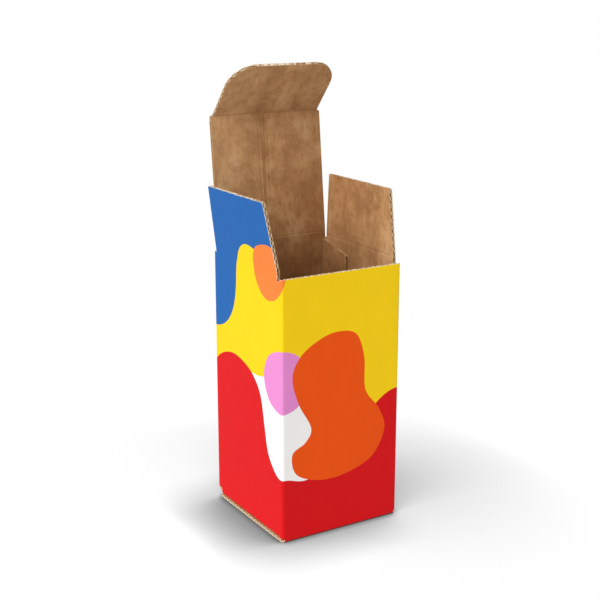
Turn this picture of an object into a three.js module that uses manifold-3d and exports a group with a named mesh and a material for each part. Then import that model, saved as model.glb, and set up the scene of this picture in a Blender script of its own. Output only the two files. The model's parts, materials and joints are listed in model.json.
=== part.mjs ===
import * as THREE from "three";
import { mergeVertices } from "three/addons/utils/BufferGeometryUtils.js";
import Module from "manifold-3d";

// Corrugated mailer box, folded from one die-cut sheet and standing open.
// Millimetres, +Z up. The origin is the middle of the underside, and the front panel faces -Y.

// Board and overall sizes
const boardThickness = 1.6;
const boxWidth = 64;
const boxDepth = 64;
const frontHeight = 125.5;
const cornerRadius = 1.2;
const foldRadius = 1.3;

// Clearances
const layerGap = 0.3;
const creaseGap = 0.15;
const tuckClearance = 0.3;
const flapClearance = 0.5;
const rimClearance = 0.35;
const lidSlit = 0.7;
const dustMeetGap = 0.6;

// Flaps
const tuckLength = 32.2;
const tuckCornerRadius = 13;
const dustTaper = 6;
const dustCornerRadius = 0.8;
const lidCornerRadius = 0.8;
const glueWidth = 21;
const glueEndDrop = 5.3;
const glueTopDrop = 1.5;
const reliefDepth = 1.0;
const cornerDrop = 0.5;

// How the flaps stand, in degrees: the lid and the dust flaps from upright, the tuck from the lid
const lidLean = 6;
const leftDustLean = 7;
const rightDustLean = 2.5;
const tuckBend = 47;

// Places that follow from the sizes above
const halfWidth = boxWidth / 2;
const halfDepth = boxDepth / 2;
const innerHalfWidth = halfWidth - boardThickness;
const innerHalfDepth = halfDepth - boardThickness;
const halfBoard = boardThickness / 2;
const bend = THREE.MathUtils.degToRad(tuckBend);
const tuckInset = boardThickness + tuckClearance + halfBoard;
const lidAxisZ = frontHeight + rimClearance + tuckInset * Math.tan(bend) + halfBoard / Math.cos(bend);
const dustAxisZ = lidAxisZ - boardThickness - layerGap;
const lidAxisY = halfDepth - halfBoard;
const dustAxisX = halfWidth - halfBoard;
const lidLength = lidAxisY + halfDepth - tuckInset;
const lidHalfWidth = innerHalfWidth - layerGap;
const tuckHalfWidth = innerHalfWidth - boardThickness - layerGap;
const dustLength = dustAxisX - dustMeetGap / 2;
const tuckSideInset = 2 * boardThickness + tuckClearance + flapClearance;
const lidSideInset = boardThickness + lidSlit;
const plainEdgeSetback = lidAxisZ + halfBoard - frontHeight;
const floorLayerZ = boardThickness + layerGap;
const floorZ = floorLayerZ + boardThickness;
const bottomTuckY = innerHalfDepth - tuckClearance;
const cutMargin = 2;
const arcSteps = 6;
const snapStep = 1e-3;

const wasm = await Module();
wasm.setup();

// A closed three.js geometry as a manifold solid, its points snapped so that faces meant to meet are level
function toSolid(geometry) {
  const bare = geometry.clone();
  bare.deleteAttribute("normal");
  bare.deleteAttribute("uv");
  const places = bare.attributes.position.array;
  places.forEach((value, index) => { places[index] = Math.round(value / snapStep) * snapStep; });
  const merged = mergeVertices(bare, snapStep / 2);
  return new wasm.Manifold(new wasm.Mesh({
    numProp: 3,
    vertProperties: new Float32Array(merged.attributes.position.array),
    triVerts: new Uint32Array(merged.index.array),
  }));
}

// A manifold solid as a three.js geometry
function toGeometry(solid) {
  const mesh = solid.getMesh();
  const geometry = new THREE.BufferGeometry();
  geometry.setAttribute("position", new THREE.BufferAttribute(new Float32Array(mesh.vertProperties), 3));
  geometry.setIndex(new THREE.BufferAttribute(new Uint32Array(mesh.triVerts), 1));
  geometry.computeVertexNormals();
  return geometry;
}

const joined = (solids) => solids.reduce((sum, solid) => sum.add(solid));
const cutBy = (solid, cutters) => cutters.reduce((rest, cutter) => rest.subtract(cutter), solid);

// A block between two opposite corners
function block(low, high) {
  const size = high.map((value, axis) => value - low[axis]);
  const geometry = new THREE.BoxGeometry(...size);
  geometry.translate(...low.map((value, axis) => value + size[axis] / 2));
  return toSolid(geometry);
}

// A 2D outline whose corners are rounded where a point carries a radius: [across, along, radius]
function outline(points) {
  const corners = points.map(([across, along]) => new THREE.Vector2(across, along));
  const shape = new THREE.Shape();
  points.forEach(([, , radius = 0], index) => {
    const corner = corners[index];
    const before = corners[(index + points.length - 1) % points.length];
    const after = corners[(index + 1) % points.length];
    const start = corner.clone().lerp(before, Math.min(radius / corner.distanceTo(before), 0.49));
    const end = corner.clone().lerp(after, Math.min(radius / corner.distanceTo(after), 0.49));
    if (index === 0) shape.moveTo(start.x, start.y);
    else shape.lineTo(start.x, start.y);
    if (radius > 0) shape.quadraticCurveTo(corner.x, corner.y, end.x, end.y);
  });
  shape.closePath();
  return shape;
}

// The outline pushed from one depth to another, as a solid: the outline's plane is XY, the push is Z
function pushed(shape, from, to) {
  const geometry = new THREE.ExtrudeGeometry(shape, { depth: to - from, bevelEnabled: false, curveSegments: arcSteps });
  geometry.translate(0, 0, from);
  return geometry;
}

// Outline [x, z] standing upright, with its thickness along Y
const uprightAcrossX = (shape, from, to) => toSolid(pushed(shape, -to, -from).rotateX(Math.PI / 2));
// Outline [y, z] standing upright, with its thickness along X
const uprightAcrossY = (shape, from, to) => toSolid(pushed(shape, from, to).rotateX(Math.PI / 2).rotateZ(Math.PI / 2));
// Outline [x, y] lying flat, with its thickness along Z
const lyingFlat = (shape, from, to) => toSolid(pushed(shape, from, to));

// What lies above a wall's crushed crest: the wall is pressed to a ridge where a flap folds on it
function aboveRidge(middle, axisZ) {
  const reach = halfBoard + creaseGap;
  const top = lidAxisZ + cutMargin;
  return outline([
    [middle, axisZ - creaseGap],
    [middle + reach, axisZ - creaseGap - reach],
    [middle + reach, top],
    [middle - reach, top],
    [middle - reach, axisZ - creaseGap - reach],
  ]);
}

// A rounding of an outer fold: the square corner outside a quarter circle, as an outline
function foldRound(edge, bottom, inwards) {
  const shape = new THREE.Shape();
  const radius = foldRadius;
  shape.moveTo(edge - inwards * cutMargin, bottom - cutMargin);
  shape.lineTo(edge + inwards * radius, bottom - cutMargin);
  shape.lineTo(edge + inwards * radius, bottom);
  for (let step = 1; step <= arcSteps; step += 1) {
    const turn = (step / arcSteps) * (Math.PI / 2);
    shape.lineTo(edge + inwards * radius * (1 - Math.sin(turn)), bottom + radius * (1 - Math.cos(turn)));
  }
  shape.lineTo(edge - inwards * cutMargin, bottom + radius);
  shape.closePath();
  return shape;
}

// The four walls as one sleeve, cut down at the rim, the creases, the corners and the underside
function sleeve() {
  const outer = outline([
    [-halfWidth, -halfDepth, cornerRadius],
    [halfWidth, -halfDepth, cornerRadius],
    [halfWidth, halfDepth, cornerRadius],
    [-halfWidth, halfDepth, cornerRadius],
  ]);
  const walls = lyingFlat(outer, 0, lidAxisZ).subtract(
    block([-innerHalfWidth, -innerHalfDepth, -cutMargin], [innerHalfWidth, innerHalfDepth, lidAxisZ + cutMargin]),
  );
  const wide = halfWidth + cutMargin;
  const deep = halfDepth + cutMargin;
  const high = lidAxisZ + cutMargin;
  const dustFrontY = -halfDepth + tuckSideInset;
  const dustBackY = halfDepth - lidSideInset;
  const cornerTopZ = dustAxisZ - creaseGap - halfBoard - cornerDrop;
  const cutters = [
    block([-wide, -deep, frontHeight], [wide, dustFrontY, high]),
    block([-wide, -innerHalfDepth, frontHeight - reliefDepth], [wide, dustFrontY, high]),
    block([-wide, dustBackY, cornerTopZ], [-lidHalfWidth, deep, high]),
    block([lidHalfWidth, dustBackY, cornerTopZ], [wide, deep, high]),
    uprightAcrossX(aboveRidge(-dustAxisX, dustAxisZ), dustFrontY - cutMargin, dustBackY + halfBoard),
    uprightAcrossX(aboveRidge(dustAxisX, dustAxisZ), dustFrontY - cutMargin, dustBackY + halfBoard),
    uprightAcrossY(aboveRidge(lidAxisY, lidAxisZ), -wide, wide),
    block([-wide, -innerHalfDepth, -cutMargin], [wide, deep, floorLayerZ]),
    block([-wide, -deep, -cutMargin], [-halfWidth + layerGap, deep, floorLayerZ]),
    block([halfWidth - layerGap, -deep, -cutMargin], [wide, deep, floorLayerZ]),
    block([-wide, halfDepth - tuckSideInset, -cutMargin], [wide, deep, plainEdgeSetback]),
  ];
  return cutBy(walls, cutters);
}

// A dust flap's outline as [distance from its crease, place from the lid's side to the tuck's side]
function dustOutline(foot) {
  return [
    [foot, halfDepth - lidSideInset],
    [foot, -halfDepth + tuckSideInset],
    [dustLength, -halfDepth + tuckSideInset + dustTaper, dustCornerRadius],
    [dustLength, halfDepth - lidSideInset, dustCornerRadius],
  ];
}

// The tuck's outline as [across, distance from its crease]
function tuckOutline(foot) {
  return [
    [-tuckHalfWidth, foot],
    [tuckHalfWidth, foot],
    [tuckHalfWidth, tuckLength, tuckCornerRadius],
    [-tuckHalfWidth, tuckLength, tuckCornerRadius],
  ];
}

// One of the two dust flaps of the closed bottom, folded in from the foot of its wall
function bottomDustFlap(side) {
  const place = ([out, along, radius]) => [side * (dustAxisX - out), -along, radius];
  return lyingFlat(outline(dustOutline(-halfBoard).map(place)), floorLayerZ, floorZ);
}

// The floor panel, folded back from the front wall, and its tuck, which stands inside the back wall
function floorPanel() {
  const panelHalfWidth = halfWidth - layerGap;
  const place = ([across, out, radius]) => [across, out + halfBoard, radius];
  const tuck = outline(tuckOutline(-halfBoard).map(place));
  return joined([
    block([-panelHalfWidth, -halfDepth, 0], [panelHalfWidth, bottomTuckY, boardThickness]),
    uprightAcrossX(tuck, bottomTuckY - boardThickness, bottomTuckY),
  ]);
}

// The strip that joins the sheet into a sleeve, bonded inside the right wall, with slanted ends
function glueStrip() {
  const rootY = innerHalfDepth + halfBoard;
  const freeY = innerHalfDepth - glueWidth;
  const topZ = dustAxisZ - glueTopDrop;
  const footZ = plainEdgeSetback + glueTopDrop;
  return uprightAcrossY(outline([
    [rootY, footZ],
    [rootY, topZ],
    [freeY, topZ - glueEndDrop],
    [freeY, footZ + glueEndDrop],
  ]), innerHalfWidth - boardThickness, innerHalfWidth + halfBoard);
}

// The box as it is folded and glued: one solid, because it is one sheet
function boxBody() {
  const wide = halfWidth + cutMargin;
  const deep = halfDepth + cutMargin;
  const sides = [-1, 1];
  const walls = joined([sleeve(), glueStrip(), ...sides.map(bottomDustFlap)]);
  const sideFolds = sides.map((side) => uprightAcrossX(foldRound(side * halfWidth, floorLayerZ, -side), -deep, deep));
  const endFolds = [
    uprightAcrossY(foldRound(-halfDepth, 0, 1), -wide, wide),
    uprightAcrossY(foldRound(bottomTuckY, 0, -1), -wide, wide),
  ];
  return cutBy(cutBy(walls, sideFolds).add(floorPanel()), endFolds);
}

// A flap's section as [thickness, distance from its crease]: a ridge at its foot, and one at a second crease
function flapSection(length, endsInCrease) {
  const foot = creaseGap + halfBoard;
  const end = endsInCrease
    ? [[halfBoard, length - foot], [0, length - creaseGap], [-halfBoard, length - foot]]
    : [[halfBoard, length], [-halfBoard, length]];
  return outline([[-halfBoard, foot], [0, creaseGap], [halfBoard, foot], ...end]);
}

// A flap upright on its crease at the origin, as wide along X as its outline says
function flap(points, length, endsInCrease) {
  const reach = halfWidth + halfDepth;
  const sheet = uprightAcrossX(outline(points), -halfBoard, halfBoard);
  return sheet.intersect(uprightAcrossY(flapSection(length, endsInCrease), -reach, reach));
}

const lidPoints = [
  [-lidHalfWidth, 0],
  [lidHalfWidth, 0],
  [lidHalfWidth, lidLength, lidCornerRadius],
  [-lidHalfWidth, lidLength, lidCornerRadius],
];
const dustPoints = dustOutline(0).map(([out, along, radius]) => [along, out, radius]);

// Printed outside, brown kraft inside: each piece shows the side that faces the viewer
const board = (name, color) => new THREE.MeshStandardMaterial({ name, color, roughness: 0.7, metalness: 0 });
const printedYellow = board("printed_yellow", 0xe7c61f);
const printedBlue = board("printed_blue", 0x3470b8);
const kraft = board("kraft", 0xa57a50);

function named(name, solid, material) {
  const mesh = new THREE.Mesh(toGeometry(solid), material);
  mesh.name = name;
  return mesh;
}

const box = new THREE.Group();
box.add(named("box_body", boxBody(), printedYellow));

// The lid stands on the back wall, and the tuck on the lid's far edge
const lid = new THREE.Group();
lid.position.set(0, lidAxisY, lidAxisZ);
lid.rotation.x = -THREE.MathUtils.degToRad(lidLean);
lid.add(named("lid_panel", flap(lidPoints, lidLength, true), kraft));
const tuck = named("tuck_flap", flap(tuckOutline(0), tuckLength, false), kraft);
tuck.position.z = lidLength;
tuck.rotation.x = bend;
lid.add(tuck);
box.add(lid);

// The dust flaps stand on the side walls: the outline runs along the wall, its slanted edge to the front
for (const [name, side, lean, material] of [
  ["left_dust_flap", -1, leftDustLean, printedBlue],
  ["right_dust_flap", 1, rightDustLean, kraft],
]) {
  const mount = new THREE.Group();
  mount.position.set(side * dustAxisX, 0, dustAxisZ);
  mount.rotation.y = side * THREE.MathUtils.degToRad(lean);
  const mesh = named(name, flap(dustPoints, dustLength, false), material);
  mesh.rotation.z = Math.PI / 2;
  mount.add(mesh);
  box.add(mount);
}

export default box;
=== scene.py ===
import json
import math

import bpy
import numpy as np
from bpy.props import FloatProperty, FloatVectorProperty, PointerProperty
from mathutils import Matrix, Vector


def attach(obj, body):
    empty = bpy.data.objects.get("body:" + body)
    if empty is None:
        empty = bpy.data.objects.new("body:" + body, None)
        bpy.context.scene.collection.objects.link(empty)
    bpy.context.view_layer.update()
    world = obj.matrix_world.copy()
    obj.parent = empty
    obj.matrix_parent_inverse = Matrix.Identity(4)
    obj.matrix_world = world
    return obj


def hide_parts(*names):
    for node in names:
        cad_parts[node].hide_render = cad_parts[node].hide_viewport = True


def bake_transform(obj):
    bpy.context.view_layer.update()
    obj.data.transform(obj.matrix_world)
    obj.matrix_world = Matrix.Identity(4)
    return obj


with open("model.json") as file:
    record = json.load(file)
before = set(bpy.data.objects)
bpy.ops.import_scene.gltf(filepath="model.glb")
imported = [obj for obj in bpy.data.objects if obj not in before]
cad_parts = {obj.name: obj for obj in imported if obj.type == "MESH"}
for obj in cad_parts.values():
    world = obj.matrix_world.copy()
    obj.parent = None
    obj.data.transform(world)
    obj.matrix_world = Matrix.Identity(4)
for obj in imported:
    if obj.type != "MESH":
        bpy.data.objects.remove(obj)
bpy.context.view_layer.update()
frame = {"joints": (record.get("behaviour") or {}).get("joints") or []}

bl_info = {
    "name": "Corrugated mailer box",
    "version": (1, 0, 0),
    "blender": (4, 5, 0),
    "location": "View3D > Sidebar > Mailer box",
    "description": "Builds an open corrugated mailer box, board by board, with its studio",
    "category": "Add Mesh",
}

MM = 0.001

# The box's own sizes in metres, as the solids have them
HALF = 32 * MM
FRONT_TOP = 125.5 * MM
CORNER_RADIUS = 1.2 * MM
FOLD_RADIUS = 1.3 * MM
RELIEF_DEPTH = 1.0 * MM
DUST_FRONT = -28.0 * MM
DUST_BACK = 29.7 * MM
DUST_LENGTH = 30.9 * MM
DUST_TAPER = 6 * MM
SMALL_CORNER = 0.8 * MM
LID_HALF = 30.1 * MM
LID_LENGTH = 60.5 * MM
TUCK_HALF = 28.5 * MM
TUCK_LENGTH = 32.2 * MM
TUCK_CORNER = 13 * MM
BACK_CORNER_TOP = 126.56 * MM
PLAIN_FOOT = 5.22 * MM
FLOOR_HALF = 31.7 * MM
FLOOR_LAYER = 1.9 * MM
BOTTOM_TUCK_FACE = 30.1 * MM
BOTTOM_TUCK_TOP = 33.0 * MM
MEET_GAP = 0.3 * MM
GLUE_FREE = 9.4 * MM
# Each pair is at the glue strip's root and at its free edge
GLUE_TOP = (126.5 * MM, 121.2 * MM)
GLUE_FOOT = (6.7 * MM, 12.0 * MM)
LID_LEAN = math.radians(6)
LEFT_LEAN = math.radians(7)
RIGHT_LEAN = math.radians(2.5)
TUCK_BEND = math.radians(47)
FRONT_INSIDE = -HALF + 1.6 * MM

# Papers that lie on one another keep this clearance
CLEARANCE = 0.01 * MM
# The smallest radius, for a corner that looks sharp
SHARP_RADIUS = 0.1 * MM
# Where the outer liner, and the inner one at the front and at a side, leave a wall for the fold below
OUTER_FOOT = FOLD_RADIUS + 0.1 * MM
FRONT_FOOT = 2.4 * MM
SIDE_FOOT = 2.5 * MM
# The fluting starts this far from a wall's foot, and this far from a fold in the bottom
WALL_FLUTING = FOLD_RADIUS + 0.3 * MM
BOTTOM_FLUTING = FOLD_RADIUS + 0.4 * MM
# The lid's board ends, and the tuck's begins, this many crease reaches before the tuck's fold
LID_STOP = 1.6
# The pressed line of a crease takes this share of the crease's reach
PRESSED = 0.55
# Length of a cut end that is crushed, rows of points for each flute, and spans in a folded corner
CRUSHED = 0.15 * MM
FLUTE_ROWS = 12
ARC_STEPS = 8
SHARP_ANGLE = math.radians(35)

HINGES = {joint["name"]: joint["pos_m"] for joint in frame["joints"]}


def srgb(text):
    """A colour written as an sRGB hex value, turned to the linear numbers that the shader takes."""
    values = [int(text[start:start + 2], 16) / 255 for start in (0, 2, 4)]
    linear = [v / 12.92 if v <= 0.04045 else ((v + 0.055) / 1.055) ** 2.4 for v in values]
    return (*linear, 1.0)


def length_of(name, about, millimetres):
    """A length property with its usual value."""
    return FloatProperty(
        name=name, description=about, default=millimetres * MM, unit="LENGTH", precision=5
    )


def colour_of(name, about, text):
    """A colour property with its usual value."""
    return FloatVectorProperty(
        name=name, description=about, default=srgb(text), size=4, min=0.0, max=1.0, subtype="COLOR"
    )


class MailerBoard(bpy.types.PropertyGroup):
    thickness: length_of("Board thickness", "Outer liner, fluting and inner liner together", 1.6)
    liner: length_of("Liner thickness", "One flat paper of the board", 0.24)
    paper: length_of("Fluting paper", "Thickness of the wavy paper, coarse enough to show", 0.26)
    pitch: length_of("Flute pitch", "Distance from one flute to the next", 3.3)
    crease: length_of("Crease reach", "How far a crease reaches to each side of its fold", 1.5)
    score: length_of("Score depth", "How deep the inner liner is pressed in at a crease", 0.1)
    dent: length_of("Outer dent", "How deep the outer liner sinks at a crease", 0.02)
    print_step: length_of("Print mesh step", "Size of the mesh squares that carry the print's edges", 1.1)


class MailerInks(bpy.types.PropertyGroup):
    yellow: colour_of("Yellow", "Field round the top of the box", "F8D012")
    blue: colour_of("Blue", "Field over the left dust flap", "2362AA")
    red: colour_of("Red", "Field round the foot of the box", "D61319")
    white: colour_of("White", "Bare white liner", "F6F6F4")
    violet: colour_of("Violet", "Oval on the front left corner", "E48CCD")
    tangerine: colour_of("Light orange", "Oval under the left dust flap", "F9813B")
    orange: colour_of("Orange", "Large shape on the front", "EE550E")


class MailerPapers(bpy.types.PropertyGroup):
    kraft: colour_of("Kraft", "Brown inner liner", "C39464")
    # The dark and the pale kraft also paint light and shade: the drift across the kraft, and dark kraft the
    # shade inside holes in cut edges
    kraft_dark: colour_of("Kraft, dark clouds", "Darker clouds and streaks in the inner liner", "8B5D37")
    kraft_light: colour_of("Kraft, pale fibres", "Paler streaks and fibres in the inner liner", "D9B286")
    cut: colour_of("Cut edge", "Cut edges of the liners", "F4E6CC")
    fluting: colour_of("Fluting", "The wavy paper", "C0996A")


class MailerStudio(bpy.types.PropertyGroup):
    floor: colour_of("Floor", "The floor that the box stands on", "F2F2F2")
    sky: FloatProperty(name="Sky", description="Strength of the even light", default=0.59)
    key: FloatProperty(name="Key lamp", description="Strength of the lamp at the left", default=2.15)


GROUPS = {
    "mailer_board": MailerBoard,
    "mailer_inks": MailerInks,
    "mailer_papers": MailerPapers,
    "mailer_studio": MailerStudio,
}


# Closed shells of board

def closed_shell(face, back, sheet, skins, wraps=False, **marks):
    """Two grids of points, the face and the back, joined round their borders into one closed shell.

    Each grid square is a quad. Rims join the borders, and the signed volume tells which way is out.
    """
    rows, columns = face.shape[:2]
    count = rows * columns
    index = np.arange(count).reshape(rows, columns)
    after = np.roll(index, -1, axis=1) if wraps else index[:, 1:]
    before = index if wraps else index[:, :-1]
    a, b, c, d = before[:-1], after[:-1], after[1:], before[1:]
    front = np.stack([a, b, c, d], -1).reshape(-1, 4)
    borders = [(b[0], a[0]), (d[-1], c[-1])]
    if not wraps:
        borders += [(a[:, 0], d[:, 0]), (c[:, -1], b[:, -1])]
    rim = np.concatenate([np.stack([one, two, two + count, one + count], -1) for one, two in borders])
    quads = np.concatenate([front, front[:, ::-1] + count, rim])
    points = np.concatenate([face.reshape(-1, 3), back.reshape(-1, 3)])
    p, q, r, s = (points[quads[:, corner]] for corner in range(4))
    volume = np.einsum("ij,ij->", p, np.cross(q, r)) + np.einsum("ij,ij->", p, np.cross(r, s))
    if volume < 0:
        quads = quads[:, ::-1]
    skin = np.repeat(skins, [len(front), len(front), len(rim)])
    flat = np.broadcast_to(sheet, (rows, columns, 2)).reshape(-1, 2)
    for name, value in marks.items():
        marks[name] = np.tile(np.broadcast_to(value, (rows, columns)).ravel(), 2)
    return {"points": points, "quads": quads, "skin": skin, "sheet": np.tile(flat, (2, 1)), "marks": marks}


def strip_shell(t, low, high, columns, near, far, place, sheet, skins, beyond=0.0):
    """A strip of paper: rows at distances t, from low to high across, between depths near and far.

    Beyond says how much further the real board goes on past the last row.
    """
    across = np.linspace(0, 1, columns)[None, :]
    low, high, near, far = (np.broadcast_to(value, t.shape)[:, None] for value in (low, high, near, far))
    s = low + (high - low) * across
    rows = t[:, None]
    rim = np.minimum(np.minimum(s - low, high - s), t[-1] + beyond - rows)
    face = place(rows, s, near)
    back = place(rows, s, far)
    return closed_shell(face, back, sheet(rows, s), skins, rim=rim)


def stacked(*parts):
    """Points put together from their parts, each of which may be the same for many points."""
    return np.stack(np.broadcast_arrays(*parts), -1)


def smoothstep(value):
    """A smooth rise from 0 to 1 with level ends: 3 x squared less 2 x cubed."""
    clipped = np.clip(value, 0, 1)
    return clipped * clipped * (3 - 2 * clipped)


def hinged(axis, along, up, out, lean=0.0, reach=1.0):
    """Places a board that is flat up to a fold and leans out after it, or is flat all the way.

    A point t beyond the fold, s along it and n outside the middle plane turns about the fold by
    lean times a smooth step of t over the crease.
    """
    axis, along, up, out = (np.array(v, float) for v in (axis, along, up, out))

    def place(t, s, n):
        turn = lean * smoothstep((t + reach) / (2 * reach))
        t, s, n, turn = np.broadcast_arrays(t, s, n, turn)
        cos, sin = np.cos(turn)[..., None], np.sin(turn)[..., None]
        stands = up * cos + out * sin
        faces = out * cos - up * sin
        return axis + s[..., None] * along + t[..., None] * stands + n[..., None] * faces

    return place


def standing(along, out, level):
    """Places a flat upright board: t is the height, s runs along it, n is out of its middle plane."""
    return hinged(np.array(out, float) * level, along, (0, 0, 1), out)


def rounded_path(corners, radius, spans):
    """A path of straight legs with arcs for corners. Spans gives the number of points in each leg."""
    corners = np.array(corners, float)
    steer = np.diff(corners, axis=0)
    steer /= np.linalg.norm(steer, axis=1)[:, None]
    turn = np.linspace(0, math.pi / 2, ARC_STEPS + 2)[1:-1, None]
    points = []
    start = corners[0]
    for leg, span in enumerate(spans):
        last = leg == len(spans) - 1
        end = corners[leg + 1] if last else corners[leg + 1] - steer[leg] * radius
        points.append(start + (end - start) * np.linspace(0, 1, span)[:, None])
        if not last:
            onward = steer[leg + 1] * radius
            points.append(end + onward - onward * np.cos(turn) + steer[leg] * radius * np.sin(turn))
            start = corners[leg + 1] + onward
    return np.concatenate(points)


def rounded_end(t, length, radius):
    """How far an edge is set back at distance t, where a quarter circle rounds the corner at the end."""
    past = np.clip(t - (length - radius), 0, radius)
    return radius - np.sqrt(radius * radius - past * past)


def groove(t, reach):
    """A smooth dent, 1 at the fold and 0 at the reach, as half a cosine."""
    return np.where(np.abs(t) < reach, 0.5 + 0.5 * np.cos(math.pi * t / reach), 0.0)


def wave(v, board):
    """Depth of the fluting paper at the sheet's height v: a sine that just clears both liners."""
    swing = board.thickness / 2 - board.liner - board.paper / 2 - CLEARANCE
    return swing * np.sin(2 * math.pi * v / board.pitch)


def flute_rows(low, high, board):
    """Heights that follow the wave, and two close together at the end, where the cut crushes it."""
    count = int((high - low) / board.pitch * FLUTE_ROWS)
    even = np.linspace(low, high - CRUSHED, max(count, 8))
    return np.append(even, high)


# The print, in millimetres on the unfolded sheet: across from the front left corner, and height.
# Each field is a smooth closed outline, and later ones lie over earlier ones.
PRINT = {
    "white": [
        (-34, 70), (-28, 75.2), (-22.3, 75.5), (-14, 77), (4, 79), (24, 72), (28, 50), (20, 24), (0, 20),
        (-24, 30),
    ],
    "red": [
        (-150, 74), (-128, 72), (-112, 62), (-96, 55), (-80, 60), (-66, 71), (-57, 77.3), (-46, 80.2),
        (-35, 78.5), (-26.5, 74.6), (-19.5, 66.5), (-15.8, 51.8), (-12.6, 40.2), (-5, 32), (3, 30.8),
        (14, 29), (30, 36), (43, 51), (54, 61.6), (64, 65.1), (76, 61), (90, 49), (106, 43), (122, 48),
        (150, 58), (150, -90), (-150, -90),
    ],
    "blue": [
        (-22.5, 135.2), (-16, 132), (4, 134), (20, 160), (0, 190), (-40, 200), (-72, 196), (-92, 186),
        (-112, 178), (-124, 160), (-120, 138), (-110, 120), (-98, 104), (-82, 93), (-66, 90), (-54, 93),
        (-46, 101), (-42.4, 112), (-41.2, 125), (-37.3, 133), (-30.7, 136.3),
    ],
    "violet": [
        (-16.2, 77), (-13, 86.6), (-5.9, 91.2), (2, 92.4), (10, 88), (13.5, 77), (9, 66), (-1, 62.8),
        (-11.5, 66.7),
    ],
    "tangerine": [
        (-22.5, 135.9), (-25.1, 128), (-21.5, 119.2), (-14.4, 114.1), (-6.4, 115), (0.5, 121.1), (2.2, 129),
        (-1.5, 136.6), (-8, 139.4), (-15.5, 138.9),
    ],
    "orange": [
        (29, 97.8), (19, 95.1), (9.8, 89), (5.5, 79.6), (8.8, 66.6), (15.4, 54), (12.4, 47.4),
        (5.4, 42.8), (7.6, 32.6), (20, 27.3), (35, 27.6), (49.4, 33.2), (56.4, 45.6), (53, 56.6),
        (45.2, 67.4), (44.3, 83.4), (39.6, 95.4),
    ],
}
# More of the same fields, on the sides that are turned away
FAR_PRINT = {
    "tangerine": [(-118, 196), (-100, 204), (-84, 215), (-66, 222), (-60, 235), (-130, 235), (-134, 210)],
    "orange": [
        (104, 120), (92, 126), (84, 140), (88, 156), (104, 166), (126, 160), (134, 140), (124, 124),
    ],
}


def smooth_outline(points, steps=10):
    """A closed curve through the points: each stretch is a Catmull-Rom cubic of four of them."""
    p = np.array(points, float)
    p0, p1, p2, p3 = np.roll(p, 1, 0), p, np.roll(p, -1, 0), np.roll(p, -2, 0)
    t = (np.arange(steps) / steps)[None, :, None]
    a, b, c, d = (q[:, None, :] for q in (p0, p1, p2, p3))
    square = (2 * a - 5 * b + 4 * c - d) * t ** 2
    cube = (3 * b - a - 3 * c + d) * t ** 3
    return (0.5 * (2 * b + (c - a) * t + square + cube)).reshape(-1, 2)


def depth_inside(points, curve):
    """How far each point lies inside the curve, in its units, and below zero outside it.

    The size is the distance to the nearest side of the curve, and the sign comes from how many sides
    a level ray crosses. The points are taken in lots of 4000 to save memory.
    """
    lot = 4000
    start, side = curve, np.roll(curve, -1, 0) - curve
    end = start + side
    length = np.einsum("ij,ij->i", side, side)
    out = np.empty(len(points))
    for part in np.array_split(np.arange(len(points)), max(1, len(points) // lot)):
        p = points[part][:, None, :]
        share = np.clip(((p - start) * side).sum(-1) / length, 0, 1)
        gap = p - start - share[..., None] * side
        near = np.sqrt((gap * gap).sum(-1).min(1))
        above = (start[:, 1] > p[..., 1]) != (end[:, 1] > p[..., 1])
        rise = np.where(side[:, 1] == 0, 1, side[:, 1])
        cross = p[..., 0] < start[:, 0] + (p[..., 1] - start[:, 1]) / rise * side[:, 0]
        out[part] = np.where((above & cross).sum(1) % 2, near, -near)
    return out


def print_marks(sheet):
    """For each field of the print, how far the sheet's points lie inside it, in millimetres."""
    marks = {name: depth_inside(sheet, smooth_outline(points)) for name, points in PRINT.items()}
    for name, points in FAR_PRINT.items():
        marks[name] = np.maximum(marks[name], depth_inside(sheet, smooth_outline(points)))
    return marks


# Papers in the order of the materials, and the papers on a liner's face, back and cut edge
PRINTED, KRAFT, CUT, FLUTING = range(4)
OUTER_SKINS = (PRINTED, CUT, CUT)
INNER_SKINS = (FLUTING, KRAFT, FLUTING)
GLUED_SKINS = (PRINTED, FLUTING, FLUTING)


def placed(name, data):
    """A new object in the scene."""
    made = bpy.data.objects.new(name, data)
    bpy.context.scene.collection.objects.link(made)
    return made


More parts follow.
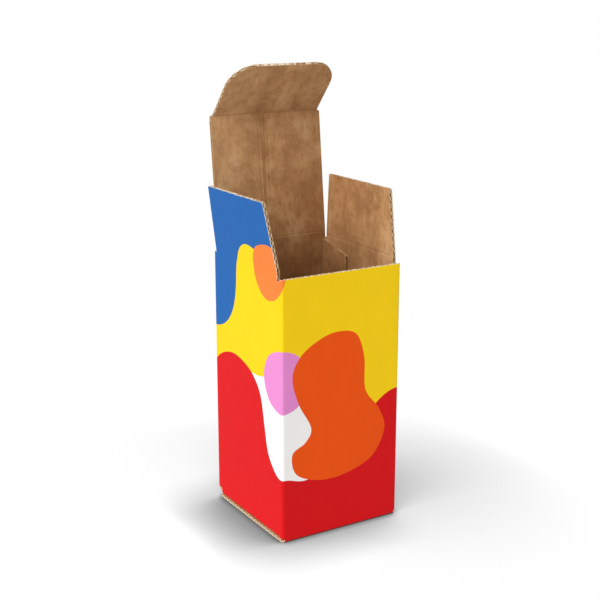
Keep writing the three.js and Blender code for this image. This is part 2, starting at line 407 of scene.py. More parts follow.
def board_piece(name, shells, node):
    """Puts shells into one mesh, with attributes for the unfolded sheet and the print, in millimetres."""
    offsets = np.cumsum([0] + [len(shell["points"]) for shell in shells[:-1]])
    points, skin, sheet = (
        np.concatenate([shell[part] for shell in shells]) for part in ("points", "skin", "sheet")
    )
    quads = np.concatenate([shell["quads"] + offset for shell, offset in zip(shells, offsets)])
    sheet = sheet / MM
    marks = {}
    for key, usual in (("rim", 1.0), ("core", 0.0)):
        each = [np.broadcast_to(shell["marks"].get(key, usual), len(shell["points"])) for shell in shells]
        marks[key] = np.concatenate(each) / MM
    printed = np.zeros(len(points), bool)
    printed[quads[skin == PRINTED].ravel()] = True
    for key, values in print_marks(sheet[printed]).items():
        marks[key] = np.full(len(points), -1.0)
        marks[key][printed] = values

    mesh = bpy.data.meshes.new(name)
    mesh.vertices.add(len(points))
    mesh.vertices.foreach_set("co", points.astype(np.float32).ravel())
    mesh.loops.add(quads.size)
    mesh.loops.foreach_set("vertex_index", quads.astype(np.int32).ravel())
    mesh.polygons.add(len(quads))
    mesh.polygons.foreach_set("loop_start", np.arange(0, quads.size, 4, dtype=np.int32))
    mesh.polygons.foreach_set("material_index", skin.astype(np.int32))
    mesh.polygons.foreach_set("use_smooth", np.ones(len(quads), bool))
    mesh.update(calc_edges=True)
    mesh.validate()
    mesh.set_sharp_from_angle(angle=SHARP_ANGLE)
    flat = np.column_stack([sheet, np.zeros(len(sheet))])
    attribute = mesh.attributes.new("sheet", "FLOAT_VECTOR", "POINT")
    attribute.data.foreach_set("vector", flat.astype(np.float32).ravel())
    for key, values in marks.items():
        attribute = mesh.attributes.new(key, "FLOAT", "POINT")
        attribute.data.foreach_set("value", values.astype(np.float32))
    piece = placed(name, mesh)
    for material in board_materials():
        mesh.materials.append(material)
    if node:
        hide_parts(node)
    return piece


# Materials

def add_node(tree, kind, inputs=None, **settings):
    """Adds a shader node with its settings, and for each input a link from a socket or a value."""
    made = tree.nodes.new("ShaderNode" + kind)
    for key, value in settings.items():
        setattr(made, key, value)
    for key, value in (inputs or {}).items():
        if isinstance(value, bpy.types.NodeSocket):
            tree.links.new(value, made.inputs[key])
        else:
            made.inputs[key].default_value = value
    return made


def material_tree(name):
    """The node tree of a new material, with no nodes yet."""
    material = bpy.data.materials.new(name)
    material.use_nodes = True
    material.node_tree.nodes.clear()
    return material.node_tree


def on_mesh(tree, name, output="Fac"):
    """What a mesh attribute says."""
    return add_node(tree, "Attribute", attribute_name=name).outputs[output]


def sheet_noise(tree, across, along, detail=2.0, roughness=0.5, offset=0.0):
    """Noise on the unfolded sheet whose grains are about across by along millimetres."""
    place = on_mesh(tree, "sheet", "Vector")
    scaled = add_node(
        tree, "Mapping",
        {"Vector": place, "Scale": (1 / across, 1 / along, 1), "Location": (offset, offset, offset)},
    )
    noise = add_node(
        tree, "TexNoise",
        {"Vector": scaled.outputs["Vector"], "Scale": 1.0, "Detail": detail, "Roughness": roughness},
    )
    return noise.outputs["Fac"]


def spread(tree, value, low, high, to_low, to_high):
    """Maps a value from one range to another, held at both ends."""
    made = add_node(
        tree, "MapRange",
        {"Value": value, "From Min": low, "From Max": high, "To Min": to_low, "To Max": to_high},
    )
    return made.outputs["Result"]


def mixed(tree, share, first, second):
    """The first colour with a share of the second: a Mix node's colours are inputs 6 and 7, output 2."""
    return add_node(tree, "Mix", {0: share, 6: first, 7: second}, data_type="RGBA").outputs[2]


def maths(tree, operation, first, second=0.5):
    """The result of a Math node on two values."""
    return add_node(tree, "Math", {0: first, 1: second}, operation=operation).outputs[0]


def times(tree, first, second):
    """Two values multiplied."""
    return maths(tree, "MULTIPLY", first, second)


def finish_surface(tree, colour, roughness, height, bump, specular):
    """Ends a paper's material: its colour and roughness, with the height raised by up to bump metres."""
    raised = add_node(tree, "Bump", {"Height": height, "Distance": bump, "Strength": 1.0})
    surface = add_node(
        tree, "BsdfPrincipled",
        {"Base Color": colour, "Roughness": roughness, "Specular IOR Level": specular,
         "Normal": raised.outputs["Normal"]},
    )
    add_node(tree, "OutputMaterial", {"Surface": surface.outputs["BSDF"]})


def sheet_part(tree, axis):
    """Millimetres across or up the unfolded sheet."""
    place = on_mesh(tree, "sheet", "Vector")
    return add_node(tree, "SeparateXYZ", {"Vector": place}).outputs[axis]


def flute_ribs(tree, pitch):
    """The faint ribs that the fluting leaves in a liner: a sine of the sheet's height, a rib a flute."""
    return maths(tree, "SINE", times(tree, sheet_part(tree, "Y"), 2 * math.pi / pitch))


def offset_print(inks, board):
    """Offset ink on white-topped liner: flat even colour, matt to satin, over faint flute ribs."""
    tree = material_tree("offset_print_on_white_liner")
    colour = inks.yellow
    for name in ("white", "red", "blue", "violet", "tangerine", "orange"):
        # The ink's edge is 0.12 mm soft
        share = spread(tree, on_mesh(tree, name), -0.06, 0.06, 0.0, 1.0)
        colour = mixed(tree, share, colour, getattr(inks, name))
    # Ink mottle: grains of about 0.8 mm and clouds of about 14 mm
    black = (0, 0, 0, 1)
    grains = sheet_noise(tree, 0.8, 0.8, 3.0)
    clouds = sheet_noise(tree, 14, 18, 2.0, offset=3.0)
    colour = mixed(tree, spread(tree, grains, 0.3, 0.7, 0.0, 0.03), colour, black)
    colour = mixed(tree, spread(tree, clouds, 0.35, 0.7, 0.0, 0.03), colour, black)
    # Bare white paper where the ink is rubbed off, within 0.35 mm of a cut edge
    worn = sheet_noise(tree, 0.9, 0.9, 4.0, 0.7, 7.0)
    reach = spread(tree, worn, 0.45, 0.75, 0.0, 0.35)
    bare = maths(tree, "LESS_THAN", on_mesh(tree, "rim"), reach)
    colour = mixed(tree, times(tree, bare, 0.8), colour, (0.85, 0.83, 0.78, 1))
    ribs = flute_ribs(tree, board.pitch / MM)
    fine = sheet_noise(tree, 0.35, 0.35, 3.0, offset=11.0)
    height = maths(tree, "ADD", times(tree, ribs, 0.25), times(tree, fine, 0.35))
    rough = spread(tree, sheet_noise(tree, 5, 5, 3.0, offset=5.0), 0.3, 0.7, 0.5, 0.6)
    finish_surface(tree, colour, rough, height, 0.03 * MM, 0.08)


def kraft_liner(papers, board):
    """Brown kraft liner: dull uncoated long-fibre paper, with streaks along its run and pale fibres."""
    tree = material_tree("brown_kraft_liner")
    # Clouds of 16 to 20 mm, blots of 4 to 6 mm, faint streaks 1.2 mm wide, fibres 0.6 by 1.6 mm
    clouds = sheet_noise(tree, 16, 20, 2.0, 0.5, 2.0)
    blots = sheet_noise(tree, 4.0, 6.0, 5.0, 0.75, 33.0)
    streaks = sheet_noise(tree, 1.2, 26, 2.0, 0.5, 4.0)
    fibres = sheet_noise(tree, 0.6, 1.6, 3.0, 0.65, 9.0)
    # Partly the paper's own tone and partly painted light and shade: a sine 120 mm long across the sheet,
    # palest near the back panel's left edge, on the lid's lit left side, and darker towards the lid's right
    over_sheet = maths(tree, "ADD", sheet_part(tree, "X"), 96.0)
    tone_and_painted_shade = maths(tree, "SINE", times(tree, over_sheet, 2 * math.pi / 120))
    colour = papers.kraft
    # From one value of a pattern to the next, up to a share of a tone comes in
    for pattern, start, full, share, tone in (
        (clouds, 0.42, 0.66, 0.5, papers.kraft_dark),
        (clouds, 0.46, 0.3, 0.5, papers.kraft_light),
        (blots, 0.48, 0.68, 0.6, papers.kraft_dark),
        (blots, 0.46, 0.3, 0.4, papers.kraft_light),
        (streaks, 0.5, 0.66, 0.12, papers.kraft_dark),
        (fibres, 0.54, 0.7, 0.14, papers.kraft_light),
        # These two rows paint light at the lid's left and shade towards its right, together with the
        # paper's own tone
        (tone_and_painted_shade, 0.0, 1.0, 0.14, papers.kraft_light),
        (tone_and_painted_shade, 0.0, -1.0, 0.22, papers.kraft_dark),
    ):
        colour = mixed(tree, spread(tree, pattern, start, full, 0.0, share), colour, tone)
    # One band of fine dark lines, 7 mm wide, runs down the back panel just left of its middle
    off_middle = maths(tree, "ABSOLUTE", maths(tree, "ADD", sheet_part(tree, "X"), 93.0))
    below_tuck = maths(tree, "LESS_THAN", sheet_part(tree, "Y"), 190.4)
    in_band = times(tree, spread(tree, off_middle, 1.8, 3.4, 0.55, 0.0), below_tuck)
    lines = spread(tree, sheet_noise(tree, 0.8, 60, 1.0, 0.5, 50.0), 0.48, 0.56, 0.0, 1.0)
    colour = mixed(tree, times(tree, in_band, lines), colour, papers.kraft_dark)
    # Paler scuffed fibres within 0.45 mm of a cut edge
    at_rim = spread(tree, on_mesh(tree, "rim"), 0.0, 0.45, 0.7, 0.0)
    worn = spread(tree, sheet_noise(tree, 1.4, 1.4, 3.0, 0.6, 21.0), 0.4, 0.7, 0.1, 0.7)
    colour = mixed(tree, times(tree, at_rim, worn), colour, papers.kraft_light)
    ribs = flute_ribs(tree, board.pitch / MM)
    height = maths(tree, "ADD", times(tree, ribs, 0.15), fibres)
    finish_surface(tree, colour, 0.88, height, 0.05 * MM, 0.1)


def cut_paper(papers):
    """The cut edge of a liner: torn pale fibres with no finish, so it scatters all the light."""
    tree = material_tree("cut_liner_edge")
    grain = sheet_noise(tree, 0.5, 0.5, 4.0, 0.65, 1.0)
    colour = mixed(tree, spread(tree, grain, 0.35, 0.7, 0.0, 0.45), papers.cut, papers.fluting)
    # Where a cut runs along a flute it is crushed shut, but for holes about 1 mm long, whose inner shade is
    # painted in dark kraft
    hole_painted_shade = spread(tree, sheet_noise(tree, 0.9, 0.9, 1.0, 0.5, 40.0), 0.5, 0.54, 0.0, 0.85)
    colour = mixed(tree, times(tree, on_mesh(tree, "core"), hole_painted_shade), colour, papers.kraft_dark)
    finish_surface(tree, colour, 0.92, grain, 0.06 * MM, 0.2)


def fluting_paper(papers):
    """Fluting medium: recycled semi-chemical paper, rough and a shade darker than the cut liners."""
    tree = material_tree("fluting_medium")
    grain = sheet_noise(tree, 0.7, 0.5, 4.0, 0.6, 6.0)
    colour = mixed(tree, spread(tree, grain, 0.35, 0.7, 0.0, 0.5), papers.fluting, papers.kraft)
    finish_surface(tree, colour, 0.9, grain, 0.05 * MM, 0.2)


def board_materials():
    """The four papers of the board, made once, in the order of the skins."""
    names = ("offset_print_on_white_liner", "brown_kraft_liner", "cut_liner_edge", "fluting_medium")
    if names[0] not in bpy.data.materials:
        scene = bpy.context.scene
        offset_print(scene.mailer_inks, scene.mailer_board)
        kraft_liner(scene.mailer_papers, scene.mailer_board)
        cut_paper(scene.mailer_papers)
        fluting_paper(scene.mailer_papers)
    return [bpy.data.materials[name] for name in names]


# The unfolded sheet

def panel_of_sheet(middle, sign):
    """A panel's points on the sheet, as (across, height): s from the panel's middle, t above a base."""
    def from_base(base):
        return lambda t, s: stacked(middle + sign * s, base + t)

    return from_base


on_left = panel_of_sheet(-HALF, -1)
on_right = panel_of_sheet(3 * HALF, 1)
on_front = panel_of_sheet(HALF, 1)
on_back = panel_of_sheet(-3 * HALF, -1)

# Sides of the sleeve, in the order of the sheet: (direction along it, direction out of it)
SIDES = [((-1, 0), (0, 1)), ((0, -1), (-1, 0)), ((1, 0), (0, -1)), ((0, 1), (1, 0))]
BACK, LEFT, FRONT, RIGHT = range(4)


def steps_over(place, stops, values):
    """The value that holds at each place: values change at the stops."""
    return np.array(values)[np.searchsorted(np.array(stops), place)]


def sleeve_columns(flat_half, step, corner_steps=6):
    """For each column round the sleeve: its side, place along it, and turn round the next corner."""
    side_stops = np.array((FRONT_INSIDE, -DUST_BACK, DUST_FRONT, -DUST_FRONT, DUST_BACK))
    back_stops = np.array((-LID_HALF, LID_HALF))
    stops = {BACK: back_stops, LEFT: -side_stops, FRONT: np.array(()), RIGHT: side_stops}
    sides, places, turns = [], [], []
    for side in (BACK, LEFT, FRONT, RIGHT):
        even = np.linspace(-flat_half, flat_half, int(2 * flat_half / step) + 1)
        near = stops[side][np.abs(stops[side]) < flat_half]
        flat = np.unique(np.concatenate([even, near - CLEARANCE, near + CLEARANCE]))
        turn = np.linspace(0, math.pi / 2, corner_steps + 2)[1:-1]
        sides += [side] * (len(flat) + corner_steps)
        places += [*flat, *([flat_half] * corner_steps)]
        turns += [*([0.0] * len(flat)), *turn]
    return np.array(sides), np.array(places), np.array(turns)


def sleeve_ends(sides, places, turns, front_foot, side_foot, crease):
    """Foot and top height of each column of the sleeve."""
    y = np.select([sides == LEFT, sides == RIGHT, sides == FRONT], [-places, places, -HALF], HALF)
    y = np.where((turns > 0) & (sides == BACK), HALF, y)
    dust_top = HINGES["left_dust_hinge"][2] - crease
    lid_top = HINGES["lid_hinge"][2] - crease
    rims = [FRONT_TOP, FRONT_TOP - RELIEF_DEPTH, dust_top, BACK_CORNER_TOP]
    top = steps_over(y, (FRONT_INSIDE, DUST_FRONT, DUST_BACK), rims)
    top = np.where((sides == BACK) & (turns == 0) & (np.abs(places) < LID_HALF), lid_top, top)
    foot = steps_over(y, (-DUST_BACK, -DUST_FRONT), [FLOOR_LAYER, side_foot, PLAIN_FOOT])
    foot = np.where((sides == FRONT) & (turns == 0), front_foot, foot)
    return foot, top


def sleeve_shell(board, halves, radii, feet, step, rows, skins):
    """A liner of the sleeve: straight sides and quarter-circle corners in plan, straight up."""
    flat_half = halves[0] - radii[0]
    sides, places, turns = sleeve_columns(flat_half, step)
    along, out = (np.array([SIDES[side][part] for side in sides], float) for part in (0, 1))
    grids = []
    for half, radius in zip(halves, radii):
        share = np.where(turns > 0, 1.0, places / flat_half)
        centre = along * (share * (half - radius))[:, None] + out * (half - radius)
        round_off = out * np.cos(turns)[:, None] + along * np.sin(turns)[:, None]
        grids.append(centre + radius * round_off)
    foot, top = sleeve_ends(sides, places, turns, *feet, board.crease)
    share = np.linspace(0, 1, rows)[:, None]
    z = foot + (top - foot) * share
    face, back = (
        np.concatenate([np.broadcast_to(grid, (rows, *grid.shape)), z[..., None]], -1) for grid in grids
    )
    arc = 2 * (HALF - flat_half) * turns / (math.pi / 2)
    across = (sides - 2) * 2 * HALF + HALF + places + arc
    sheet = stacked(across, z)
    rim = np.minimum(top - z, 1.0)
    rim = np.where((sides == FRONT) | (turns > 0), rim, 1.0)
    return closed_shell(face, back, sheet, skins, wraps=True, rim=rim)


def fluting_strip(low, high, t, place, sheet, board, edge=CUT):
    """The wavy paper: a sine over the sheet's height, spread from liner to liner at its cut end."""
    columns = 3
    middle = wave(sheet(t, 0.0)[..., 1], board)
    near, far = middle + board.paper / 2, middle - board.paper / 2
    near[-1] = board.thickness / 2 - board.liner - CLEARANCE
    far[-1] = -near[-1]
    shell = strip_shell(t, low, high, columns, near, far, place, sheet, (FLUTING, FLUTING, edge))
    shell["marks"]["core"] = np.tile(np.repeat(t >= t[-1], columns), 2) * MM
    return shell


def wall_fluting(board):
    """Fluting of the four walls, each as wide as its wall's flat part at every height."""
    level = HALF - board.thickness / 2
    clear_of_corner = 0.2 * MM
    wide = HALF - CORNER_RADIUS - clear_of_corner
    notch = FRONT_TOP - RELIEF_DEPTH
    dust_top = HINGES["left_dust_hinge"][2] - board.crease
    lid_top = HINGES["lid_hinge"][2] - board.crease
    shells = []
    for side, sheet, foot, top in (
        (FRONT, on_front(0.0), WALL_FLUTING, FRONT_TOP),
        (BACK, on_back(0.0), PLAIN_FOOT, lid_top),
        (LEFT, on_left(0.0), FLOOR_LAYER + WALL_FLUTING, dust_top),
        (RIGHT, on_right(0.0), FLOOR_LAYER + WALL_FLUTING, dust_top),
    ):
        out = (*SIDES[side][1], 0)
        along = (1, 0, 0) if side in (FRONT, BACK) else (0, 1, 0)
        t = flute_rows(foot, top, board)
        low, high = np.full(t.shape, -wide), np.full(t.shape, wide)
        if side == BACK:
            high = np.where(t > BACK_CORNER_TOP, LID_HALF, wide)
            low = -high
        if side in (LEFT, RIGHT):
            low = np.where(t > notch, DUST_FRONT, -wide)
        shells.append(fluting_strip(low, high, t, standing(along, out, level), sheet, board))
    return shells


def flap_rows(start, length, crease, step, round_end):
    """Distances along a flap: close over its crease and over its rounded end, even between."""
    near = np.linspace(start, crease, 33)
    body = np.linspace(crease, length - round_end, max(int((length - crease - round_end) / step), 2))
    tip = length - round_end + round_end * np.sin(np.linspace(0, math.pi / 2, 14))
    return np.unique(np.round(np.concatenate([near, [-CLEARANCE, CLEARANCE], body, tip]), 8))


def flap_shells(board, start, length, edges, place, sheet, end_radius, edge=CUT, beyond=0.0):
    """A flap as board: printed outer liner, kraft inner liner, and fluting from the crease to the end."""
    half = board.thickness / 2
    t = flap_rows(start, length, board.crease, board.print_step, end_radius)
    pressed = groove(t, board.crease * PRESSED)
    left, right = edges(0.0)
    columns = max(int((right - left) / board.print_step), 2)
    shells = []
    for face, rise, count, skins in (
        (half, -board.dent, columns, (PRINTED, edge, edge)),
        (-half + board.liner, board.score, max(columns // 2, 2), INNER_SKINS),
    ):
        near = face + rise * pressed
        far = near - board.liner
        shells.append(strip_shell(t, *edges(t), count, near, far, place, sheet, skins, beyond))
    t = flute_rows(board.crease, length, board)
    return [*shells, fluting_strip(*edges(t), t, place, sheet, board, edge)]


def crossing(piece):
    """Bakes the piece's placing into its mesh."""
    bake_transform(piece)


class MAILER_OT_walls(bpy.types.Operator):
    """Builds the four walls, as one sleeve"""

    bl_idname = "mailer.walls"
    bl_label = "Walls"

    def execute(self, context):
        board = context.scene.mailer_board
        inside = HALF - board.thickness
        outer = sleeve_shell(
            board, halves=(HALF, HALF - board.liner), radii=(CORNER_RADIUS, CORNER_RADIUS - board.liner),
            feet=(OUTER_FOOT, FLOOR_LAYER + OUTER_FOOT), step=board.print_step, rows=116,
            skins=OUTER_SKINS,
        )
        inner = sleeve_shell(
            board, halves=(inside + board.liner, inside), radii=(0.55 * MM, 0.3 * MM),
            feet=(FRONT_FOOT, FLOOR_LAYER + SIDE_FOOT), step=4 * MM, rows=40, skins=INNER_SKINS,
        )
        piece = board_piece("box_board", [outer, inner, *wall_fluting(board)], "box_body")
        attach(piece, "box")
        return {"FINISHED"}


class MAILER_OT_seam(bpy.types.Operator):
    """Builds the glue strip inside the right wall"""

    bl_idname = "mailer.seam"
    bl_label = "Glued seam"

    def execute(self, context):
        board = context.scene.mailer_board
        inside = HALF - board.thickness
        half = board.thickness / 2
        level = inside - half - CLEARANCE
        root = inside - 2 * CLEARANCE
        (root_foot, free_foot), (root_top, free_top) = GLUE_FOOT, GLUE_TOP
        # The strip's rows run from its free edge to its root, and across from foot to top
        t = np.linspace(0, root - GLUE_FREE, 24)
        share = t / t[-1]
        low = free_foot + (root_foot - free_foot) * share
        high = free_top + (root_top - free_top) * share

        def place(t, s, n):
            return stacked(level + n, GLUE_FREE + t, s)

        def sheet(t, s):
            return stacked(-4 * HALF - root + GLUE_FREE + t, s)

        shells = [
            strip_shell(t, low, high, 40, face, face - board.liner, place, sheet, skins)
            for face, skins in ((half, GLUED_SKINS), (-half + board.liner, INNER_SKINS))
        ]
        z = flute_rows(root_foot, root_top, board)
        heights = (root_foot, free_foot, free_top, root_top)
        free = np.interp(z, heights, (root, GLUE_FREE, GLUE_FREE, root))
        narrowest = 0.2 * MM
        free = np.minimum(free, root - narrowest)
        upright = standing((0, 1, 0), (1, 0, 0), level)
        ends = np.full(z.shape, root)
        shells.append(fluting_strip(free, ends, z, upright, on_right(0.0), board, FLUTING))
        piece = board_piece("glue_strip_board", shells, None)
        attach(piece, "box")
        return {"FINISHED"}


class MAILER_OT_bottom(bpy.types.Operator):
    """Builds the closed bottom: the floor panel with its tuck, and the two bottom dust flaps"""

    bl_idname = "mailer.bottom"
    bl_label = "Closed bottom"

    def folded(self, corners, spans):
        """A folded board's path at a depth below its outer face, and the lengths along that face."""
        def path(depth):
            return rounded_path(corners(depth), max(FOLD_RADIUS - depth, SHARP_RADIUS), spans)

        sides = np.linalg.norm(np.diff(path(0.0), axis=0), axis=1)
        return path, np.concatenate([[0], np.cumsum(sides)])

    def liners(self, board, path, lengths, width, place, sheet_at, counts):
        """Both liners of a folded board: the path at two depths each, as wide as width says all along."""
        low, high = (edge[:, None] for edge in width(lengths))
        thick, liner = board.thickness, board.liner
        shells = []
        for depths, skins, count in (
            ((0.0, liner), OUTER_SKINS, counts[0]),
            ((thick - liner, thick), INNER_SKINS, counts[1]),
        ):
            s = low + (high - low) * np.linspace(0, 1, count)[None, :]
            face, back = (place(path(depth), s) for depth in depths)
            rim = np.minimum(s - low, high - s)
            shells.append(closed_shell(face, back, sheet_at(lengths[:, None], s), skins, rim=rim))
        return shells

    def floor(self, board):
        """The floor panel, hinged on the front wall, with its tuck standing inside the back wall."""
        spans = (6, 40, 28)

        def corners(depth):
            start = OUTER_FOOT if depth < board.thickness / 2 else FRONT_FOOT
            front, rear = -HALF + depth, BOTTOM_TUCK_FACE - depth
            return [(front, start), (front, depth), (rear, depth), (rear, BOTTOM_TUCK_TOP)]

        path, lengths = self.folded(corners, spans)
        narrow_until = lengths[spans[0] + ARC_STEPS] - 0.4 * MM
        second_fold = lengths[spans[0] + ARC_STEPS + spans[1] + ARC_STEPS // 2]
        end = lengths[-1]

        def width(length):
            half = np.where(length < narrow_until, HALF - CORNER_RADIUS, FLOOR_HALF)
            half = np.where(length > second_fold, TUCK_HALF - rounded_end(length, end, TUCK_CORNER), half)
            return -half, half

        def place(line, s):
            line = line[:, None, :]
            return stacked(s, line[..., 0], line[..., 1])

        def sheet_at(length, s):
            return stacked(HALF + s, FOLD_RADIUS - length)

        shells = self.liners(board, path, lengths, width, place, sheet_at, (48, 24))
        middle = board.thickness / 2
        y = flute_rows(-HALF + BOTTOM_FLUTING, BOTTOM_TUCK_FACE - BOTTOM_FLUTING, board)
        half = np.full(y.shape, FLOOR_HALF)
        flat = hinged((0, 0, middle), (1, 0, 0), (0, 1, 0), (0, 0, 1))
        shells.append(fluting_strip(-half, half, y, flat, on_front(0.0), board))
        tuck_foot = FOLD_RADIUS + 0.6 * MM
        z = flute_rows(tuck_foot, BOTTOM_TUCK_TOP, board)
        half = TUCK_HALF - rounded_end(z, BOTTOM_TUCK_TOP, TUCK_CORNER)
        upright = standing((1, 0, 0), (0, 1, 0), BOTTOM_TUCK_FACE - middle)
        shells.append(fluting_strip(-half, half, z, upright, on_front(0.0), board))
        piece = board_piece("floor_board", shells, "box_body")
        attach(piece, "box")

    def dust_flap(self, board, name, side, on_sheet):
        """A bottom dust flap, hinged on a side wall, that meets the other one over the floor panel."""
        spans = (6, 30)

        def corners(depth):
            start = FLOOR_LAYER + (OUTER_FOOT if depth < board.thickness / 2 else SIDE_FOOT)
            edge = HALF - depth
            return [(edge, start), (edge, FLOOR_LAYER + depth), (MEET_GAP, FLOOR_LAYER + depth)]

        path, lengths = self.folded(corners, spans)
        fold = lengths[spans[0] + ARC_STEPS // 2]
        end = lengths[-1]

        def width(length):
            slant = DUST_TAPER * np.clip((length - fold) / (end - fold), 0, 1)
            corner = rounded_end(length, end, SMALL_CORNER)
            return -DUST_BACK + corner, -DUST_FRONT - slant - corner

        def place(line, s):
            line = line[:, None, :]
            return stacked(side * line[..., 0], s, line[..., 1])

        def sheet_at(length, s):
            return on_sheet(FLOOR_LAYER)(-length, s)

        shells = self.liners(board, path, lengths, width, place, sheet_at, (40, 30))
        t = flute_rows(BOTTOM_FLUTING, HALF - MEET_GAP, board)
        edges = width(fold + t * (end - fold) / t[-1])
        root = (side * HALF, 0, FLOOR_LAYER + board.thickness / 2)
        flat = hinged(root, (0, 1, 0), (-side, 0, 0), (0, 0, -1))
        shells.append(fluting_strip(*edges, t, flat, on_sheet(FLOOR_LAYER), board))
        piece = board_piece(name, shells, None)
        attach(piece, "box")

    def execute(self, context):
        board = context.scene.mailer_board
        self.floor(board)
        self.dust_flap(board, "bottom_left_board", -1, on_left)
        self.dust_flap(board, "bottom_right_board", 1, on_right)
        return {"FINISHED"}


class MAILER_OT_dust_flaps(bpy.types.Operator):
    """Builds the two dust flaps that stand on the side walls"""

    bl_idname = "mailer.dust_flaps"
    bl_label = "Dust flaps"

    def execute(self, context):
        board = context.scene.mailer_board

        def edges(t):
            slant = DUST_TAPER * np.clip(t / DUST_LENGTH, 0, 1)
            corner = rounded_end(t, DUST_LENGTH, SMALL_CORNER)
            return DUST_FRONT + slant + corner, DUST_BACK - corner

        for body, out, lean, on_sheet, slot in (
            ("left_dust", (-1, 0, 0), LEFT_LEAN, on_left, "printed_board"),
            ("right_dust", (1, 0, 0), RIGHT_LEAN, on_right, "kraft_board"),
        ):
            joint = body + "_hinge"
            axis = HINGES[joint]
            place = hinged(axis, (0, 1, 0), (0, 0, 1), out, lean, board.crease)
            shells = flap_shells(
                board, -board.crease, DUST_LENGTH, edges, place, on_sheet(axis[2]), SMALL_CORNER
            )
            piece = board_piece(body + "_board", shells, body + "_flap")
            crossing(piece)
        return {"FINISHED"}


class MAILER_OT_lid(bpy.types.Operator):
    """Builds the lid that stands on the back wall, up to its second crease"""

    bl_idname = "mailer.lid"
    bl_label = "Lid"

    def execute(self, context):
        board = context.scene.mailer_board
        axis = HINGES["lid_hinge"]
        place = hinged(axis, (1, 0, 0), (0, 0, 1), (0, 1, 0), LID_LEAN, board.crease)

        def edges(t):
            half = LID_HALF + 0.0 * t
            return -half, half

        shells = flap_shells(
            board, -board.crease, LID_LENGTH - LID_STOP * board.crease, edges, place, on_back(axis[2]),
            SHARP_RADIUS, FLUTING, TUCK_LENGTH,
        )
        piece = board_piece("lid_board", shells, "lid_panel")
        crossing(piece)
        return {"FINISHED"}


class MAILER_OT_tuck(bpy.types.Operator):
    """Builds the tuck flap and the end of the lid that it folds on"""

    bl_idname = "mailer.tuck"
    bl_label = "Tuck flap"

    def execute(self, context):
        board = context.scene.mailer_board
        axis = HINGES["tuck_fold"]
        up = np.array((0, math.sin(LID_LEAN), math.cos(LID_LEAN)))
        out = np.array((0, math.cos(LID_LEAN), -math.sin(LID_LEAN)))
        place = hinged(axis, (1, 0, 0), up, out, -TUCK_BEND, board.crease)

        def edges(t):
            lid_end = LID_HALF - rounded_end(t, 0.0, SMALL_CORNER)
            half = np.where(t > 0, TUCK_HALF - rounded_end(t, TUCK_LENGTH, TUCK_CORNER), lid_end)
            return -half, half

        base = HINGES["lid_hinge"][2] + LID_LENGTH
        shells = flap_shells(
            board, -LID_STOP * board.crease, TUCK_LENGTH, edges, place, on_back(base), TUCK_CORNER
        )
        piece = board_piece("tuck_board", shells, "tuck_flap")
        crossing(piece)
        return {"FINISHED"}


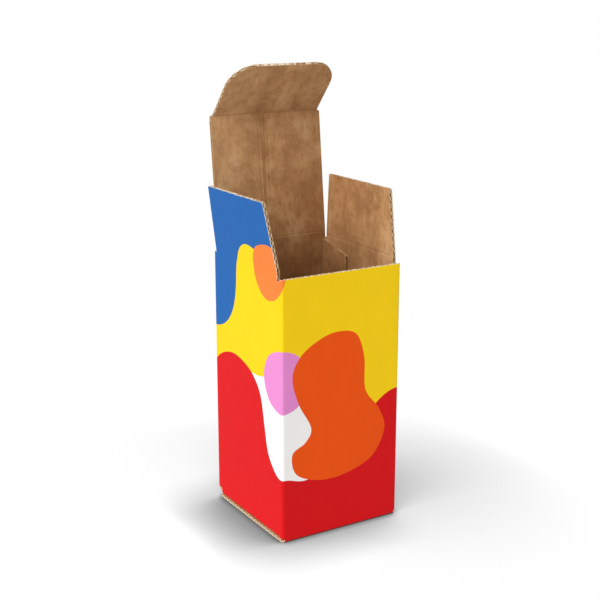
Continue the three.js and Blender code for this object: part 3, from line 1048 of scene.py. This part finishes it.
class MAILER_OT_stage(bpy.types.Operator):
    """Builds the floor, the lamp, the even light and the camera"""

    bl_idname = "mailer.stage"
    bl_label = "Studio"

    def shade(self, tree, towards, reach, power):
        """The share of light that reaches the floor from round one direction, raised to a power, as painted
        shade for the floor's glow.
        """
        normal = add_node(tree, "CombineXYZ", dict(zip("XYZ", Vector(towards).normalized())))
        open_sky = add_node(
            tree, "AmbientOcclusion",
            {"Distance": reach, "Normal": normal.outputs["Vector"]}, samples=24,
        )
        return maths(tree, "POWER", open_sky.outputs["AO"], power)

    def floor(self, studio):
        """A plain sheet 60 m wide, just under the box."""
        side, level = 30.0, -0.02 * MM
        mesh = bpy.data.meshes.new("studio_floor")
        corners = [(side * x, side * y, level) for x, y in ((-1, -1), (1, -1), (1, 1), (-1, 1))]
        mesh.from_pydata(corners, [], [(0, 1, 2, 3)])
        floor = placed("studio_floor", mesh)
        tree = material_tree("matt_studio_floor")
        seen = add_node(tree, "LightPath").outputs["Is Camera Ray"]
        # Seen by the camera the floor glows white but for a painted soft shadow round the box: short at the
        # left, long at the right, and close under the walls, each as (towards, reach, power)
        light = 1.0
        for towards, reach, power in (
            ((0.85, 0.2, 0.45), 32 * MM, 1.15),
            ((-0.9, -0.4, 0.2), 100 * MM, 1.05),
            ((0, 0, 1), 4 * MM, 0.9),
        ):
            light = times(tree, light, self.shade(tree, towards, reach, power))
        # Painted shadow: under the box the floor's glow is nearly dark, as hardly any light reaches the
        # floor there
        place = add_node(tree, "TexCoord").outputs["Object"]
        parts = add_node(tree, "SeparateXYZ", {"Vector": place}).outputs
        across, along = (maths(tree, "ABSOLUTE", parts[axis]) for axis in "XY")
        off_centre = maths(tree, "MAXIMUM", across, along)
        soft_edge = 1.5 * MM
        painted_shadow_under_box = spread(tree, off_centre, HALF - soft_edge, HALF, 0.04, 1.0)
        light = times(tree, light, painted_shadow_under_box)
        # The camera sees this glow with its painted shadow; other rays see the matt floor
        glow = add_node(tree, "Emission", {"Color": (1, 1, 1, 1), "Strength": light})
        matt = add_node(tree, "BsdfDiffuse", {"Color": studio.floor})
        surface = add_node(
            tree, "MixShader", {0: seen, 1: matt.outputs["BSDF"], 2: glow.outputs["Emission"]}
        )
        add_node(tree, "OutputMaterial", {"Surface": surface.outputs["Shader"]})
        mesh.materials.append(bpy.data.materials["matt_studio_floor"])

    def lamp(self, name, strength, towards, softness):
        """A distant lamp that stands towards one direction, and looks so many degrees wide."""
        light = bpy.data.lights.new(name, "SUN")
        light.energy = strength
        light.angle = math.radians(softness)
        placed(name, light).rotation_euler = Vector(towards).to_track_quat("Z", "Y").to_euler()

    def world(self, studio):
        """Even light from all round, and plain white behind the object."""
        world = bpy.data.worlds.new("even_light")
        world.use_nodes = True
        tree = world.node_tree
        tree.nodes.clear()
        path = add_node(tree, "LightPath").outputs
        mirrored = maths(tree, "MAXIMUM", path["Is Glossy Ray"], path["Is Transmission Ray"])
        seen = maths(tree, "MAXIMUM", path["Is Camera Ray"], mirrored)
        strength = spread(tree, seen, 0.0, 1.0, studio.sky, 1.0)
        back = add_node(tree, "Background", {"Color": (1, 1, 1, 1), "Strength": strength})
        add_node(tree, "OutputWorld", {"Surface": back.outputs["Background"]})
        bpy.context.scene.world = world

    def camera(self):
        """The camera, turned round an aim point near the box's middle."""
        azimuth, elevation = math.radians(-31.2), math.radians(15.03)
        aim = Vector((-3.16 * MM, 0, 105.42 * MM))
        distance = 562.7 * MM
        level = math.cos(elevation)
        back = Vector((math.sin(azimuth) * level, -math.cos(azimuth) * level, math.sin(elevation)))
        lens = bpy.data.cameras.new("camera")
        # The sensor and the lens are in millimetres
        lens.sensor_width = 36
        lens.lens = 71.18
        lens.clip_start = 0.01
        lens.clip_end = 200
        camera = placed("camera", lens)
        camera.location = aim + back * distance
        camera.rotation_euler = back.to_track_quat("Z", "Y").to_euler()
        bpy.context.scene.camera = camera

    def execute(self, context):
        studio = context.scene.mailer_studio
        self.floor(studio)
        self.lamp("key_lamp", studio.key, (-0.85, -0.25, 0.55), 40)
        self.world(studio)
        self.camera()
        context.scene.view_settings.view_transform = "Standard"
        return {"FINISHED"}


PIECES = (
    MAILER_OT_walls, MAILER_OT_seam, MAILER_OT_bottom, MAILER_OT_dust_flaps, MAILER_OT_lid,
    MAILER_OT_tuck, MAILER_OT_stage,
)


class MAILER_PT_panel(bpy.types.Panel):
    """Lists the pieces of the mailer box and its settings"""

    bl_idname = "MAILER_PT_panel"
    bl_label = "Mailer box"
    bl_space_type = "VIEW_3D"
    bl_region_type = "UI"
    bl_category = "Mailer box"

    def draw(self, context):
        for settings, group in GROUPS.items():
            box = self.layout.box()
            for name in group.__annotations__:
                box.prop(getattr(context.scene, settings), name)
        for piece in PIECES:
            self.layout.operator(piece.bl_idname)


CLASSES = (*GROUPS.values(), *PIECES, MAILER_PT_panel)


def register():
    for made in CLASSES:
        bpy.utils.register_class(made)
    for name, group in GROUPS.items():
        setattr(bpy.types.Scene, name, PointerProperty(type=group))


def unregister():
    for name in GROUPS:
        delattr(bpy.types.Scene, name)
    for made in reversed(CLASSES):
        bpy.utils.unregister_class(made)


def main():
    register()
    for piece in PIECES:
        family, name = piece.bl_idname.split(".")
        getattr(getattr(bpy.ops, family), name)()


if __name__ == "__main__":
    main()
